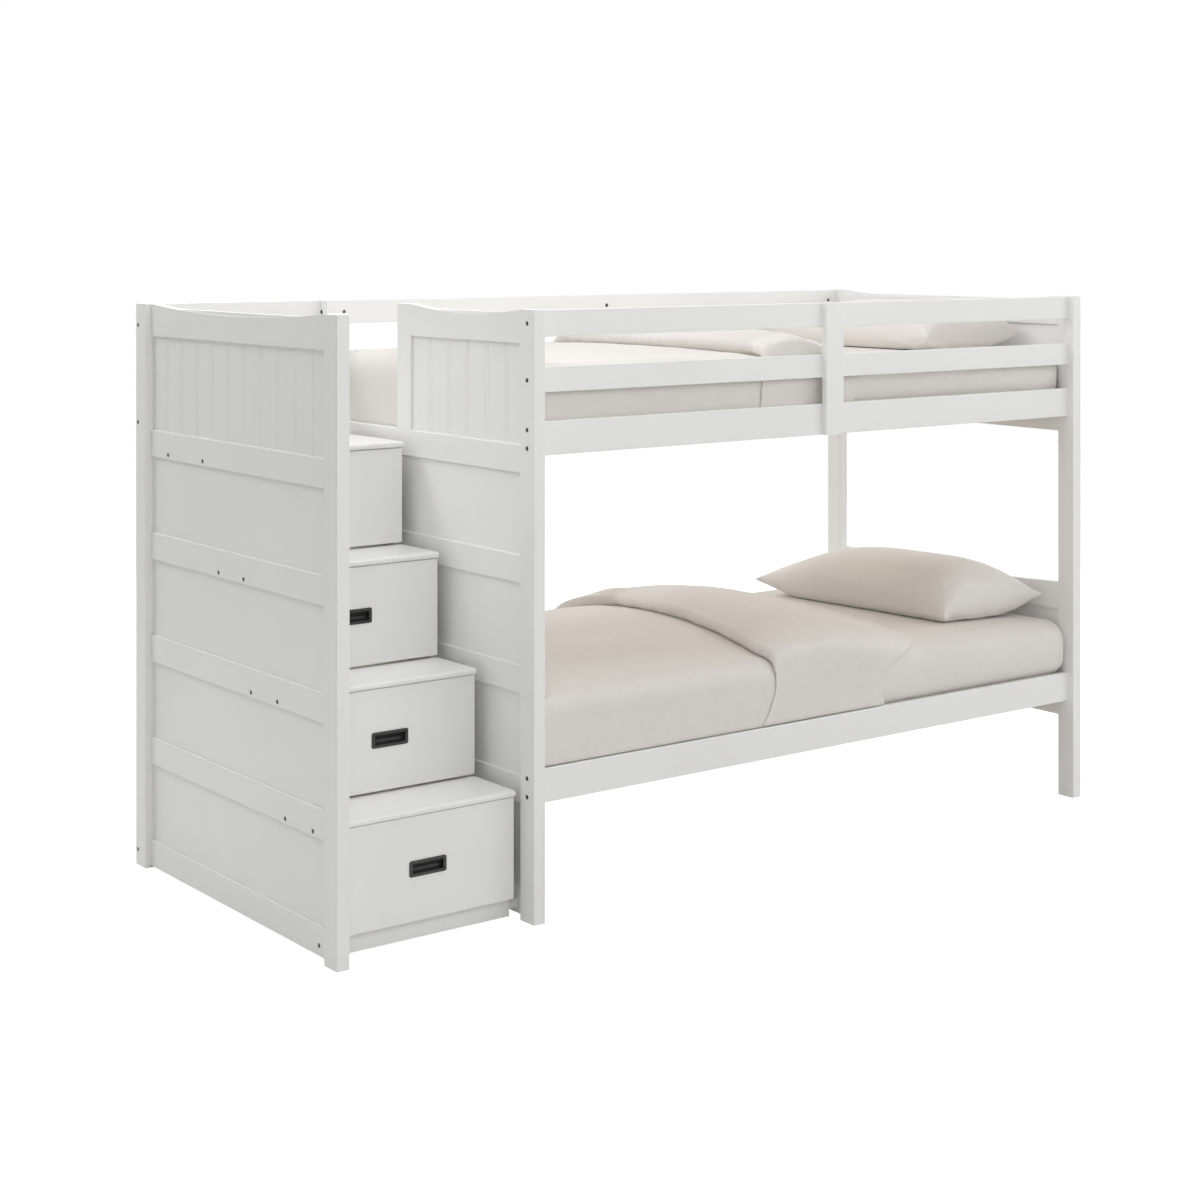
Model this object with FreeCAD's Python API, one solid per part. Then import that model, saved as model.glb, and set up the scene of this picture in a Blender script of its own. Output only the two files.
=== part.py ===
import FreeCAD, Part
import os

# Twin bunk bed with a staircase of drawers across its left end, made up with bedding.
# X runs along the bed from the stairs to the head end, Y from the front to the back, Z up.
# Pieces are drawn from the front left corner on the floor, in millimetres, and are saved
# about the middle of the footprint.

# Mattresses and the bay that they lie in
mattress_length = 1905.0
mattress_width = 960.0
lower_mattress_thick = 200.0
upper_mattress_thick = 155.0
mattress_round = 24.0
mattress_edge_share = 0.3
mattress_corner = 60.0
mattress_end_gap = 12.0
mattress_side_gap = 12.5
lower_bulge = 20.0
bulge_rise = 22.0

# Posts
post_thick = 34.0
post_wide = 59.0
post_cap = 1.0
floor_gap = 6.0
edge_round = 2.0

# Long rails, guard rails and guard uprights
rail_thick = 19.0
rail_setback = 20.0
side_rail_height = 83.0
lower_rail_z = 287.0
upper_rail_drop = 23.8
low_guard_gap = 71.0
mid_guard_height = 62.5
high_guard_gap = 74.0
top_guard_height = 65.5
upright_wide = 64.0
upright_thick = 18.0

# Frames across the bed: cross rails, flat panels and beaded boards
cross_rail_height = 70.0
end_top_height = 84.0
scoop_flat = 12.0
scoop_arcs = 16
stair_scoop = 20.0
entry_scoop = 17.0
panel_thick = 6.0
tongue = 6.0
tenon_length = 12.0
tenon_thick = 9.0
tenon_shoulder = 10.0
joint_clear = 0.2
bead_wide = 11.0
quirk_wide = 3.0
quirk_deep = 2.6
stair_board_count = 11
entry_board_count = 6
entry_opening = 350.0
entry_stile_wide = 68.0
headboard_drop = 48.0
headboard_panel_height = 246.0
headboard_top_height = 81.0
headboard_scoop = 14.0

# Rails across the back of the stairs
stair_back_setback = 4.0
stair_back_top_height = 112.0

# Slats and the cleats under them
slat_count = 14
slat_wide = 70.0
slat_thick = 18.0
slat_end_gap = 2.0
slat_bay_margin = 20.0
cleat_wide = 20.0
cleat_height = 17.0
cleat_end_gap = 5.0

# Stairs
step_count = 4
rise = 270.7
run = 172.0
first_step_setback = 62.0
tread_length = 498.0
tread_thick = 15.0
tread_drop = 28.5
nosing = 6.0
nosing_round = 6.0
stair_gap = 15.0
side_thick = 15.0
kick_setback = 22.0
kick_thick = 15.0
tread_cleat_height = 30.0
tread_cleat_thick = 18.0
tread_cleat_inset = 2.0
tread_cleat_length = 243.0
kick_block_deep = 18.0
step_bolt_inset = 55.0
top_step_bolt_inset = 104.0
spacer_wide = 30.0
spacer_height = 20.0

# Drawers and the wooden runners that carry them
front_thick = 18.0
front_reveal = 1.5
front_top_gap = 1.5
front_bottom_gap = 6.5
box_lift = 14.0
box_top_gap = 8.0
box_side_thick = 15.0
box_back_thick = 12.0
box_bottom_thick = 6.0
box_bottom_lift = 8.0
box_side_gap = 1.2
drawer_back_gap = 20.0
runner_height = 16.0
runner_deep = 8.0
runner_lift = 90.0
runner_front_inset = 15.0
runner_back_inset = 10.0
runner_stop_gap = 2.0
runner_seat_gap = 0.3
runner_play = 1.0

# Flush pulls
pull_wide = 103.0
pull_height = 38.0
pull_plate = 2.0
pull_corner = 5.0
cup_wide = 89.0
cup_height = 27.0
cup_deep = 12.0
cup_wall = 1.5
pocket_depth_shares = (0.0, 0.25, 1.0, 1.0, 0.0)
pocket_height_shares = (1.0, 0.98, 0.45, 0.12, 0.0)

# Bolts with sunk heads, and the barrel nuts that the rail bolts draw up on
bolt_dia = 6.0
bolt_clear = 0.3
bolt_tip_room = 1.5
head_dia = 11.0
head_height = 4.0
head_sink = 0.5
head_clear = 0.5
socket_dia = 5.0
socket_deep = 2.5
socket_sides = 6
nut_dia = 10.0
nut_length = 14.0
nut_inset = 34.0
nut_clear = 0.2
nut_thread_clear = 0.1
bolt_spread = 22.5
cleat_bite = 14.0
upright_bite = 13.0

# Bedding
soft_clear = 0.4
duvet_thick = 30.0
duvet_side = 9.0
duvet_round = 42.0
duvet_crown = 10.0
duvet_foot = 8.0
hem_gap = 2.0
duvet_front_shares = (0.0, 0.03, 0.375, 0.382, 0.45, 0.56, 0.595, 0.607)
duvet_back_shares = (0.0, 0.03, 0.469, 0.476, 0.55, 0.73, 0.78, 0.796)
duvet_layer_shares = (0.55, 0.85, 1.0, 1.9, 2.15, 2.1, 1.5, 0.5)
pillow_length = 840.0
pillow_wide = 440.0
lower_pillow_thick = 182.0
upper_pillow_thick = 148.0
pillow_head_gap = 12.0
pillow_seam_share = 0.36
pillow_place_shares = (0.0, 0.07, 0.24, 0.5, 0.76, 0.93, 1.0)
pillow_wide_shares = (0.93, 0.96, 0.93, 0.91, 0.93, 0.96, 0.93)
pillow_thick_shares = (0.07, 0.4, 0.86, 1.0, 0.86, 0.4, 0.07)

# Cuts run past the faces that they open by this much
overrun = 3.0

# Bow of a quarter circle from its corner, and how nearly an edge must run along an axis
bow_share = 0.293
same_way_share = 0.99

# Places that follow from the sizes above
bay_length = mattress_length + 2 * mattress_end_gap
bay_width = mattress_width + 2 * mattress_side_gap
bed_depth = bay_width + 2 * (rail_thick + rail_setback)
stair_right = post_thick + tread_length
x_bed = stair_right + stair_gap
x_bay = x_bed + post_thick
x_head = x_bay + bay_length
bed_length = x_head + post_thick
x_middle = (x_bay + x_head) / 2


def rail_top(level):
    """Top of a cross rail, counted from the floor."""
    return floor_gap + cross_rail_height + level * rise


def tread_top(step):
    return rail_top(step) - tread_drop


def tread_bottom(step):
    return tread_top(step) - tread_thick


def step_front(step):
    """Face of a step's drawer, behind the front of the posts."""
    return first_step_setback + (step - 1) * run


steps = range(1, step_count + 1)
upper_rail_z = rail_top(step_count) - upper_rail_drop
mid_guard_z = upper_rail_z + side_rail_height + low_guard_gap
top_guard_z = mid_guard_z + mid_guard_height + high_guard_gap
post_height = top_guard_z + top_guard_height + post_cap
end_top_z = (post_height - end_top_height, post_height)

span_y = (post_wide, bed_depth - post_wide)
stile_y = (span_y[1] - entry_opening - entry_stile_wide, span_y[1] - entry_opening)
board_y = (post_wide, stile_y[0])
front_rail_y = (rail_setback, rail_setback + rail_thick)
back_rail_y = (bed_depth - front_rail_y[1], bed_depth - front_rail_y[0])
stair_back = span_y[1]

stair_end = (0, 1)
bed_end = (x_bed, 1)
head_end = (bed_length, -1)

mattress_x = (x_bay + mattress_end_gap, x_head - mattress_end_gap)
mattress_y = (front_rail_y[1] + mattress_side_gap, back_rail_y[0] - mattress_side_gap)
lower_bed_z = lower_rail_z + cleat_height + slat_thick
upper_bed_z = upper_rail_z + cleat_height + slat_thick

along = FreeCAD.Vector(1, 0, 0)
across = FreeCAD.Vector(0, 1, 0)
up = FreeCAD.Vector(0, 0, 1)


# Plain shapes

def block(x, y, z):
    """A box between two limits along each axis."""
    corner = FreeCAD.Vector(x[0], y[0], z[0])
    return Part.makeBox(x[1] - x[0], y[1] - y[0], z[1] - z[0], corner)


def grown(limits, room):
    return (limits[0] - room, limits[1] + room)


def middle(limits):
    return (limits[0] + limits[1]) / 2


def one_solid(shape):
    """The single solid that a cut or a join leaves."""
    return shape.removeSplitter().Solids[0]


def eased(solid, axis, radius=edge_round):
    """Round the edges of a board that run along an axis."""
    edges = []
    for edge in solid.Edges:
        if abs(edge.tangentAt(edge.FirstParameter).dot(axis)) > same_way_share:
            edges.append(edge)
    return solid.makeFillet(radius, edges)


def outline(points):
    return Part.Face(Part.makePolygon(points + points[:1]))


def carved(solid, tools):
    """Cut away the tools that reach into a solid."""
    near = [tool for tool in tools if tool.BoundBox.intersect(solid.BoundBox)]
    if not near:
        return solid
    return one_solid(solid.cut(near))


# Bolts and barrel nuts

def bolt_rod(bolt, radius, start, end):
    """A round length of a bolt's axis, measured from the face where its head sits."""
    point, way, reach = bolt
    return Part.makeCylinder(radius, end - start, point + way * start, way)


def bolt_solid(bolt):
    point, way, reach = bolt
    seat = head_sink + head_height
    head = bolt_rod(bolt, head_dia / 2, head_sink, seat)
    shank = bolt_rod(bolt, bolt_dia / 2, seat, reach)
    turn = FreeCAD.Rotation(up, way)
    corners = []
    for side in range(socket_sides):
        spin = FreeCAD.Rotation(up, side * 360.0 / socket_sides)
        corners.append(point + turn * (spin * (along * (socket_dia / 2))))
    socket = outline(corners).extrude(way * (head_sink + socket_deep))
    return one_solid(head.fuse(shank).cut(socket))


def bolt_room(bolt):
    """The counterbored hole that a bolt needs."""
    seat = head_sink + head_height
    reach = bolt[2]
    bore = bolt_rod(bolt, head_dia / 2 + head_clear, -overrun, seat)
    shaft = bolt_rod(bolt, bolt_dia / 2 + bolt_clear, 0, reach + bolt_tip_room)
    return one_solid(bore.fuse(shaft))


def nut_solid(bolt, face_y, way):
    """A barrel nut let into a rail's inner face, across the end of its bolt."""
    point, bolt_way, reach = bolt
    place = point + bolt_way * (post_thick + nut_inset)
    start = FreeCAD.Vector(place.x, face_y + way * head_sink, place.z)
    barrel = Part.makeCylinder(nut_dia / 2, nut_length, start, across * way)
    thread = bolt_rod(bolt, bolt_dia / 2 + nut_thread_clear, 0, reach + bolt_tip_room)
    return one_solid(barrel.cut(thread))


def nut_room(bolt, face_y, way):
    point, bolt_way, reach = bolt
    place = point + bolt_way * (post_thick + nut_inset)
    start = FreeCAD.Vector(place.x, face_y - way * overrun, place.z)
    depth = overrun + head_sink + nut_length + nut_clear
    return Part.makeCylinder(nut_dia / 2 + nut_clear, depth, start, across * way)


rail_reach = post_thick + nut_inset + nut_dia / 2


def end_bolts(y, x, heights):
    """Bolts through the posts into both ends of a rail between two post faces."""
    bolts = []
    for z in heights:
        bolts.append((FreeCAD.Vector(x[0], y, z), along, rail_reach))
        bolts.append((FreeCAD.Vector(x[1], y, z), along * -1, rail_reach))
    return bolts


def rail_levels():
    """Each long rail's name, height limits and bolt heights."""
    levels = []
    for name, low in (("upper_side_rail", upper_rail_z), ("lower_side_rail", lower_rail_z)):
        center = low + side_rail_height / 2
        levels.append((name, (low, low + side_rail_height), (center - bolt_spread, center + bolt_spread)))
    mid = (mid_guard_z, mid_guard_z + mid_guard_height)
    top = (top_guard_z, top_guard_z + top_guard_height)
    levels.append(("mid_guard_rail", mid, (middle(mid),)))
    levels.append(("top_guard_rail", top, (middle(top),)))
    return levels


def stair_back_levels():
    top = (post_height - post_cap - stair_back_top_height, post_height - post_cap)
    mid = (upper_rail_z, upper_rail_z + side_rail_height)
    low = (floor_gap, floor_gap + cross_rail_height)
    return (top, mid, low)


stair_back_y = (bed_depth - stair_back_setback - rail_thick, bed_depth - stair_back_setback)
kick_z = (floor_gap, tread_top(0) + front_bottom_gap)
kick_y = (first_step_setback + kick_setback, first_step_setback + kick_setback + kick_thick)


def tread_cleat_y(step):
    """Front and back of the cleats under a tread."""
    front = step_front(step) + front_thick + tread_cleat_inset
    if step == step_count:
        return (front, stair_back)
    return (front, front + tread_cleat_length)


def tread_cleat_z(step):
    return (tread_bottom(step) - tread_cleat_height, tread_bottom(step))


def stair_bolt_places():
    """Where the stairs are bolted to the frames on both sides of them."""
    places = [(kick_y[1] + kick_block_deep / 2, middle(kick_z))]
    for step in steps:
        inset = top_step_bolt_inset if step == step_count else step_bolt_inset
        for y in grown(tread_cleat_y(step), -inset):
            places.append((y, middle(tread_cleat_z(step))))
    return places


def upright_bolts():
    bolts = []
    for name, z, heights in rail_levels():
        if name == "lower_side_rail":
            continue
        for y, way in ((front_rail_y[1], -1), (back_rail_y[0], 1)):
            point = FreeCAD.Vector(x_middle, y, middle(z))
            bolts.append((point, across * way, rail_thick + upright_bite))
    return bolts


def stair_bolts():
    bolts = []
    left = post_thick - rail_thick
    spacer = x_bay - rail_thick - stair_right
    for y, z in stair_bolt_places():
        bolts.append((FreeCAD.Vector(left, y, z), along, rail_thick + side_thick + cleat_bite))
        reach = rail_thick + spacer + side_thick + cleat_bite
        bolts.append((FreeCAD.Vector(x_bay, y, z), along * -1, reach))
    return bolts


def fasteners():
    """All bolts and nuts of the bed, and the holes that they need."""
    solids = []
    rooms = []
    plain = upright_bolts() + stair_bolts()
    drawn = []
    for name, z, heights in rail_levels():
        for y, face, way in ((front_rail_y, front_rail_y[1], -1), (back_rail_y, back_rail_y[0], 1)):
            for bolt in end_bolts(middle(y), (x_bed, bed_length), heights):
                drawn.append((bolt, face, way))
    for z in stair_back_levels():
        for bolt in end_bolts(middle(stair_back_y), (0, x_bay), (middle(z),)):
            drawn.append((bolt, stair_back_y[0], 1))
    for bolt, face, way in drawn:
        solids.append(nut_solid(bolt, face, way))
        rooms.append(nut_room(bolt, face, way))
    for bolt in plain + [entry[0] for entry in drawn]:
        solids.append(bolt_solid(bolt))
        rooms.append(bolt_room(bolt))
    return solids, rooms


# Frames across the bed

def inward(end, near, far):
    """X limits of a layer between two depths behind an end's outer face."""
    face, way = end
    return tuple(sorted((face + way * near, face + way * far)))


def rail_layer(end):
    return inward(end, post_thick - rail_thick, post_thick)


def centred_layer(end, thick):
    """A layer in the middle of the cross rails' thickness."""
    center = post_thick - rail_thick / 2
    return inward(end, center - thick / 2, center + thick / 2)


def tenons(end, y, z):
    return block(centred_layer(end, tenon_thick), grown(y, tenon_length), grown(z, -tenon_shoulder))


def mortises(end, y, z):
    layer = grown(centred_layer(end, tenon_thick), joint_clear)
    return block(layer, grown(y, tenon_length + joint_clear), grown(z, joint_clear - tenon_shoulder))


def cross_rail(end, y, z):
    board = eased(block(rail_layer(end), y, z), across)
    return one_solid(board.fuse(tenons(end, y, z)))


def arc_run(whole):
    """A long shallow arc as a run of short ones, which keeps its outline even."""
    step = (whole.LastParameter - whole.FirstParameter) / scoop_arcs
    edges = []
    for number in range(scoop_arcs):
        start = whole.FirstParameter + number * step
        points = [whole.value(start), whole.value(start + step / 2), whole.value(start + step)]
        edges.append(Part.Arc(*points).toShape())
    return edges


def scooped_rail(end, y, z, scoop):
    """A cross rail whose top dips in one long arc between two flats."""
    x = rail_layer(end)
    corners = [(y[0], z[1]), (y[0], z[0]), (y[1], z[0]), (y[1], z[1])]
    ends = [FreeCAD.Vector(x[0], *corner) for corner in corners]
    left = FreeCAD.Vector(x[0], y[0] + scoop_flat, z[1])
    right = FreeCAD.Vector(x[0], y[1] - scoop_flat, z[1])
    dip = FreeCAD.Vector(x[0], middle(y), z[1] - scoop)
    lines = [Part.LineSegment(a, b).toShape() for a, b in zip(ends, ends[1:])]
    lines.append(Part.LineSegment(ends[-1], right).toShape())
    lines.extend(arc_run(Part.Arc(right, dip, left)))
    lines.append(Part.LineSegment(left, ends[0]).toShape())
    board = Part.Face(Part.Wire(lines)).extrude(along * rail_thick)
    return one_solid(board.fuse(tenons(end, y, z)))


def panel(end, y, z):
    return block(centred_layer(end, panel_thick), grown(y, tongue), grown(z, tongue))


def panel_groove(end, y, z):
    layer = grown(centred_layer(end, panel_thick), joint_clear)
    return block(layer, grown(y, tongue + joint_clear), grown(z, tongue + joint_clear))


def beadboard(end, y, z, boards):
    """A panel like narrow boards, with a bead between two fine grooves at each joint."""
    way = end[1]
    layer = centred_layer(end, panel_thick)
    face = layer[0] if way > 0 else layer[1]
    pitch = (y[1] - y[0]) / boards
    low = z[0] - tongue
    grooves = []
    for board in range(1, boards):
        for side in (-1, 1):
            center = y[0] + board * pitch + side * bead_wide / 2
            points = [(face, center - quirk_wide / 2), (face + way * quirk_deep, center)]
            points.append((face, center + quirk_wide / 2))
            section = outline([FreeCAD.Vector(px, py, low) for px, py in points])
            grooves.append(section.extrude(up * (z[1] - z[0] + 2 * tongue)))
    return one_solid(panel(end, y, z).cut(grooves))


def level_z(level):
    return (rail_top(level) - cross_rail_height, rail_top(level))


def panel_z(level):
    return (rail_top(level), rail_top(level + 1) - cross_rail_height)


levels = range(step_count + 1)
bays = range(step_count)
board_z = (rail_top(step_count), end_top_z[0])
head_low_z = lower_rail_z - headboard_drop
headboard_low_z = (head_low_z, head_low_z + cross_rail_height)
headboard_panel_z = (headboard_low_z[1], headboard_low_z[1] + headboard_panel_height)
headboard_top_z = (headboard_panel_z[1], headboard_panel_z[1] + headboard_top_height)


def stair_end_frame():
    """Rails, panels and boards between the two stair posts, and what they cut into the posts."""
    grooves = [panel_groove(stair_end, span_y, panel_z(bay)) for bay in bays]
    grooves.append(panel_groove(stair_end, span_y, board_z))
    holes = [mortises(stair_end, span_y, level_z(level)) for level in levels]
    holes.append(mortises(stair_end, span_y, end_top_z))
    rails = [cross_rail(stair_end, span_y, level_z(level)) for level in levels]
    top = scooped_rail(stair_end, span_y, end_top_z, stair_scoop)
    pieces = {
        "stair_end_top_rail": [carved(top, grooves)],
        "stair_end_rails": [carved(rail, grooves) for rail in rails],
        "stair_end_panels": [panel(stair_end, span_y, panel_z(bay)) for bay in bays],
        "stair_end_beadboard": [beadboard(stair_end, span_y, board_z, stair_board_count)],
    }
    return pieces, grooves + holes


def entry_stile():
    """The upright beside the way in, tenoned into the rail under it."""
    z = (rail_top(step_count), post_height)
    board = eased(block(rail_layer(bed_end), stile_y, z), up)
    foot = block(centred_layer(bed_end, tenon_thick), grown(stile_y, -tenon_shoulder),
                 (z[0] - tenon_length, z[0]))
    return one_solid(board.fuse(foot))


def stile_mortise():
    layer = grown(centred_layer(bed_end, tenon_thick), joint_clear)
    low = rail_top(step_count) - tenon_length - joint_clear
    return block(layer, grown(stile_y, joint_clear - tenon_shoulder), (low, rail_top(step_count) + overrun))


def bed_end_frame():
    """The frame between the stairs and the bunks, open at the back above the top step."""
    grooves = [panel_groove(bed_end, span_y, panel_z(bay)) for bay in bays]
    grooves.append(panel_groove(bed_end, board_y, board_z))
    holes = [mortises(bed_end, span_y, level_z(level)) for level in levels]
    top_holes = [mortises(bed_end, board_y, end_top_z)]
    rails = [cross_rail(bed_end, span_y, level_z(level)) for level in levels]
    rails[-1] = carved(rails[-1], [stile_mortise()])
    top = scooped_rail(bed_end, board_y, end_top_z, entry_scoop)
    pieces = {
        "bed_left_top_rail": [carved(top, grooves)],
        "bed_left_rails": [carved(rail, grooves) for rail in rails],
        "bed_left_panels": [panel(bed_end, span_y, panel_z(bay)) for bay in bays],
        "bed_left_beadboard": [beadboard(bed_end, board_y, board_z, entry_board_count)],
        "entry_stile": [carved(entry_stile(), grooves + top_holes)],
    }
    return pieces, grooves + holes + top_holes


def head_end_frame():
    """The head end: a boarded frame for the upper bunk and a headboard for the lower one."""
    grooves = [panel_groove(head_end, span_y, board_z), panel_groove(head_end, span_y, headboard_panel_z)]
    rail_z = (level_z(step_count), end_top_z, headboard_low_z, headboard_top_z)
    holes = [mortises(head_end, span_y, z) for z in rail_z]
    top = scooped_rail(head_end, span_y, end_top_z, stair_scoop)
    headboard = scooped_rail(head_end, span_y, headboard_top_z, headboard_scoop)
    pieces = {
        "head_end_top_rail": [carved(top, grooves)],
        "head_end_mid_rail": [carved(cross_rail(head_end, span_y, level_z(step_count)), grooves)],
        "head_end_beadboard": [beadboard(head_end, span_y, board_z, stair_board_count)],
        "headboard_top_rail": [carved(headboard, grooves)],
        "headboard_panel": [panel(head_end, span_y, headboard_panel_z)],
        "headboard_bottom_rail": [carved(cross_rail(head_end, span_y, headboard_low_z), grooves)],
    }
    return pieces, grooves + holes


def posts(cuts):
    """Six posts, each cut for the frame that it holds."""
    pieces = {}
    rows = {"front": (0, post_wide), "back": (bed_depth - post_wide, bed_depth)}
    ends = (("stair", stair_end, ""), ("bed", bed_end, "_left"), ("head", head_end, ""))
    for key, end, side in ends:
        for row, y in rows.items():
            post = eased(block(inward(end, 0, post_thick), y, (0, post_height)), up)
            pieces["post_" + key + "_" + row + side] = [carved(post, cuts[key])]
    return pieces


# Long rails, slats and guard uprights

def long_rails():
    pieces = {}
    for name, z, heights in rail_levels():
        for row, y in (("front_", front_rail_y), ("back_", back_rail_y)):
            pieces[row + name] = [eased(block((x_bay, x_head), y, z), along)]
    rails = [block((post_thick, x_bed), stair_back_y, z) for z in stair_back_levels()]
    pieces["stair_back_rails"] = [eased(rail, along) for rail in rails]
    x = (x_middle - upright_wide / 2, x_middle + upright_wide / 2)
    z = (upper_rail_z, post_height - post_cap)
    front = block(x, (rail_setback - upright_thick, rail_setback), z)
    back = block(x, (back_rail_y[1], back_rail_y[1] + upright_thick), z)
    pieces["guard_uprights"] = [eased(front, up), eased(back, up)]
    return pieces


def slat_bases():
    """Cleats along the side rails, and the slats that lie on them."""
    pieces = {"slat_cleats": []}
    cleat_x = grown((x_bay, x_head), -cleat_end_gap)
    front_cleat = (front_rail_y[1], front_rail_y[1] + cleat_wide)
    back_cleat = (back_rail_y[0] - cleat_wide, back_rail_y[0])
    slat_y = (front_rail_y[1] + slat_end_gap, back_rail_y[0] - slat_end_gap)
    pitch = (bay_length - 2 * slat_bay_margin - slat_wide) / (slat_count - 1)
    for name, low in (("lower_slats", lower_rail_z), ("upper_slats", upper_rail_z)):
        for y in (front_cleat, back_cleat):
            pieces["slat_cleats"].append(block(cleat_x, y, (low, low + cleat_height)))
        pieces[name] = []
        for slat in range(slat_count):
            left = x_bay + slat_bay_margin + slat * pitch
            z = (low + cleat_height, low + cleat_height + slat_thick)
            pieces[name].append(block((left, left + slat_wide), slat_y, z))
    return pieces


# Stairs

stair_x = (post_thick, stair_right)
bay_x = grown(stair_x, -side_thick)


def stair_side(x):
    """A stepped board with a toe notch, under the ends of the treads."""
    points = [(kick_y[1], floor_gap), (kick_y[1], kick_z[1])]
    for step in steps:
        front = step_front(step) + front_thick
        points.append((front, points[-1][1]))
        points.append((front, tread_bottom(step)))
    points += [(stair_back, tread_bottom(step_count)), (stair_back, floor_gap)]
    face = outline([FreeCAD.Vector(x[0], y, z) for y, z in points])
    return face.extrude(along * (x[1] - x[0]))


def tread(step):
    """A step board that reaches back to the next step's side boards."""
    back = stair_back if step == step_count else step_front(step + 1) + front_thick
    front = step_front(step) - nosing
    board = block(stair_x, (front, back), (tread_bottom(step), tread_top(step)))
    edges = []
    for edge in board.Edges:
        if edge.BoundBox.YMax < front + nosing and edge.BoundBox.XLength > nosing:
            edges.append(edge)
    return board.makeFillet(nosing_round, edges)


def stair_cleats():
    cleats = []
    left = (bay_x[0], bay_x[0] + tread_cleat_thick)
    right = (bay_x[1] - tread_cleat_thick, bay_x[1])
    for x in (left, right):
        cleats.append(block(x, (kick_y[1], kick_y[1] + kick_block_deep), kick_z))
        for step in steps:
            cleats.append(block(x, tread_cleat_y(step), tread_cleat_z(step)))
    return cleats


def stair_spacers():
    """Blocks that fill the gap between the stairs and the bed's frame at each bolt."""
    spacers = []
    for y, z in stair_bolt_places():
        wide = (y - spacer_wide / 2, y + spacer_wide / 2)
        tall = (z - spacer_height / 2, z + spacer_height / 2)
        spacers.append(block((stair_right, x_bay - rail_thick), wide, tall))
    return spacers


def stairs():
    pieces = {
        "stair_side_left": [stair_side((stair_x[0], bay_x[0]))],
        "stair_side_right": [stair_side((bay_x[1], stair_x[1]))],
        "stair_treads": [tread(step) for step in steps],
        "stair_kick_board": [block(stair_x, kick_y, kick_z)],
        "stair_cleats": stair_cleats(),
        "stair_spacers": stair_spacers(),
        "drawer_runners": [],
    }
    for step in steps:
        pieces["drawer_runners"] += runners(step)
    return pieces


# Drawers

drawer_depth = stair_back - step_front(step_count) - front_thick - drawer_back_gap
box_x = grown(bay_x, -box_side_gap)


def front_z(step):
    return (tread_top(step - 1) + front_bottom_gap, tread_bottom(step) - front_top_gap)


def box_y(step):
    front = step_front(step) + front_thick
    return (front, front + drawer_depth)


def box_z(step):
    return (front_z(step)[0] + box_lift, tread_cleat_z(step)[0] - box_top_gap)


def runner_z(step):
    low = box_z(step)[0] + runner_lift
    return (low, low + runner_height)


def runner_y(step):
    y = box_y(step)
    return (y[0] + runner_front_inset, y[1] - runner_back_inset)


def runners(step):
    """A strip on each side of a drawer, which its grooved sides slide on."""
    left = (bay_x[0], bay_x[0] + runner_deep)
    right = (bay_x[1] - runner_deep, bay_x[1])
    return [block(x, runner_y(step), runner_z(step)) for x in (left, right)]


def runner_groove(step):
    """The room that a drawer's runners need, open at the back of its sides."""
    z = (runner_z(step)[0] - runner_play, runner_z(step)[1] + runner_seat_gap)
    y = (runner_y(step)[0] - runner_stop_gap, box_y(step)[1] + overrun)
    room = runner_deep + runner_play
    left = (bay_x[0], bay_x[0] + room)
    right = (bay_x[1] - room, bay_x[1])
    return [block(x, y, z) for x in (left, right)]


def drawer_box(step):
    """Two grooved sides, a back and a bottom."""
    y = box_y(step)
    z = box_z(step)
    grooves = runner_groove(step)
    left = (box_x[0], box_x[0] + box_side_thick)
    right = (box_x[1] - box_side_thick, box_x[1])
    inside = (left[1], right[0])
    back_y = (y[1] - box_back_thick, y[1])
    bottom_z = (z[0] + box_bottom_lift, z[0] + box_bottom_lift + box_bottom_thick)
    solids = [carved(block(x, y, z), grooves) for x in (left, right)]
    solids.append(block(inside, back_y, z))
    solids.append(block(inside, (y[0], back_y[0]), bottom_z))
    return solids


def pull_limits(step, wide, height):
    """X and Z limits of something centred on a drawer front."""
    x = middle(stair_x)
    z = middle(front_z(step))
    return (x - wide / 2, x + wide / 2), (z - height / 2, z + height / 2)


def pull_pocket(step):
    """The finger pocket: shallow at the top, deep below the middle."""
    x, z = pull_limits(step, cup_wide - 2 * cup_wall, cup_height - 2 * cup_wall)
    face = step_front(step) - pull_plate
    deep = pull_plate + cup_deep - cup_wall
    tall = z[1] - z[0]
    points = []
    for depth_share, height_share in zip(pocket_depth_shares, pocket_height_shares):
        points.append(FreeCAD.Vector(x[0], face + depth_share * deep, z[0] + height_share * tall))
    return outline(points).extrude(along * (x[1] - x[0]))


def pull(step):
    front = step_front(step)
    x, z = pull_limits(step, pull_wide, pull_height)
    plate = eased(block(x, (front - pull_plate, front), z), across, pull_corner)
    cup_x, cup_z = pull_limits(step, cup_wide, cup_height)
    cup = block(cup_x, (front, front + cup_deep), cup_z)
    return one_solid(plate.fuse(cup).cut(pull_pocket(step)))


def drawer_front(step):
    y = (step_front(step), step_front(step) + front_thick)
    board = eased(block(grown(stair_x, -front_reveal), y, front_z(step)), across)
    cup_x, cup_z = pull_limits(step, cup_wide + 2 * joint_clear, cup_height + 2 * joint_clear)
    room = block(cup_x, (y[0] - overrun, y[0] + cup_deep + joint_clear), cup_z)
    return one_solid(board.cut(room))


def drawers():
    pieces = {}
    for step in steps:
        name = "drawer_" + str(step) + "_"
        pieces[name + "front"] = [drawer_front(step)]
        pieces[name + "box"] = drawer_box(step)
        pieces[name + "pull"] = [pull(step)]
    return pieces


# Bedding

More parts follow.
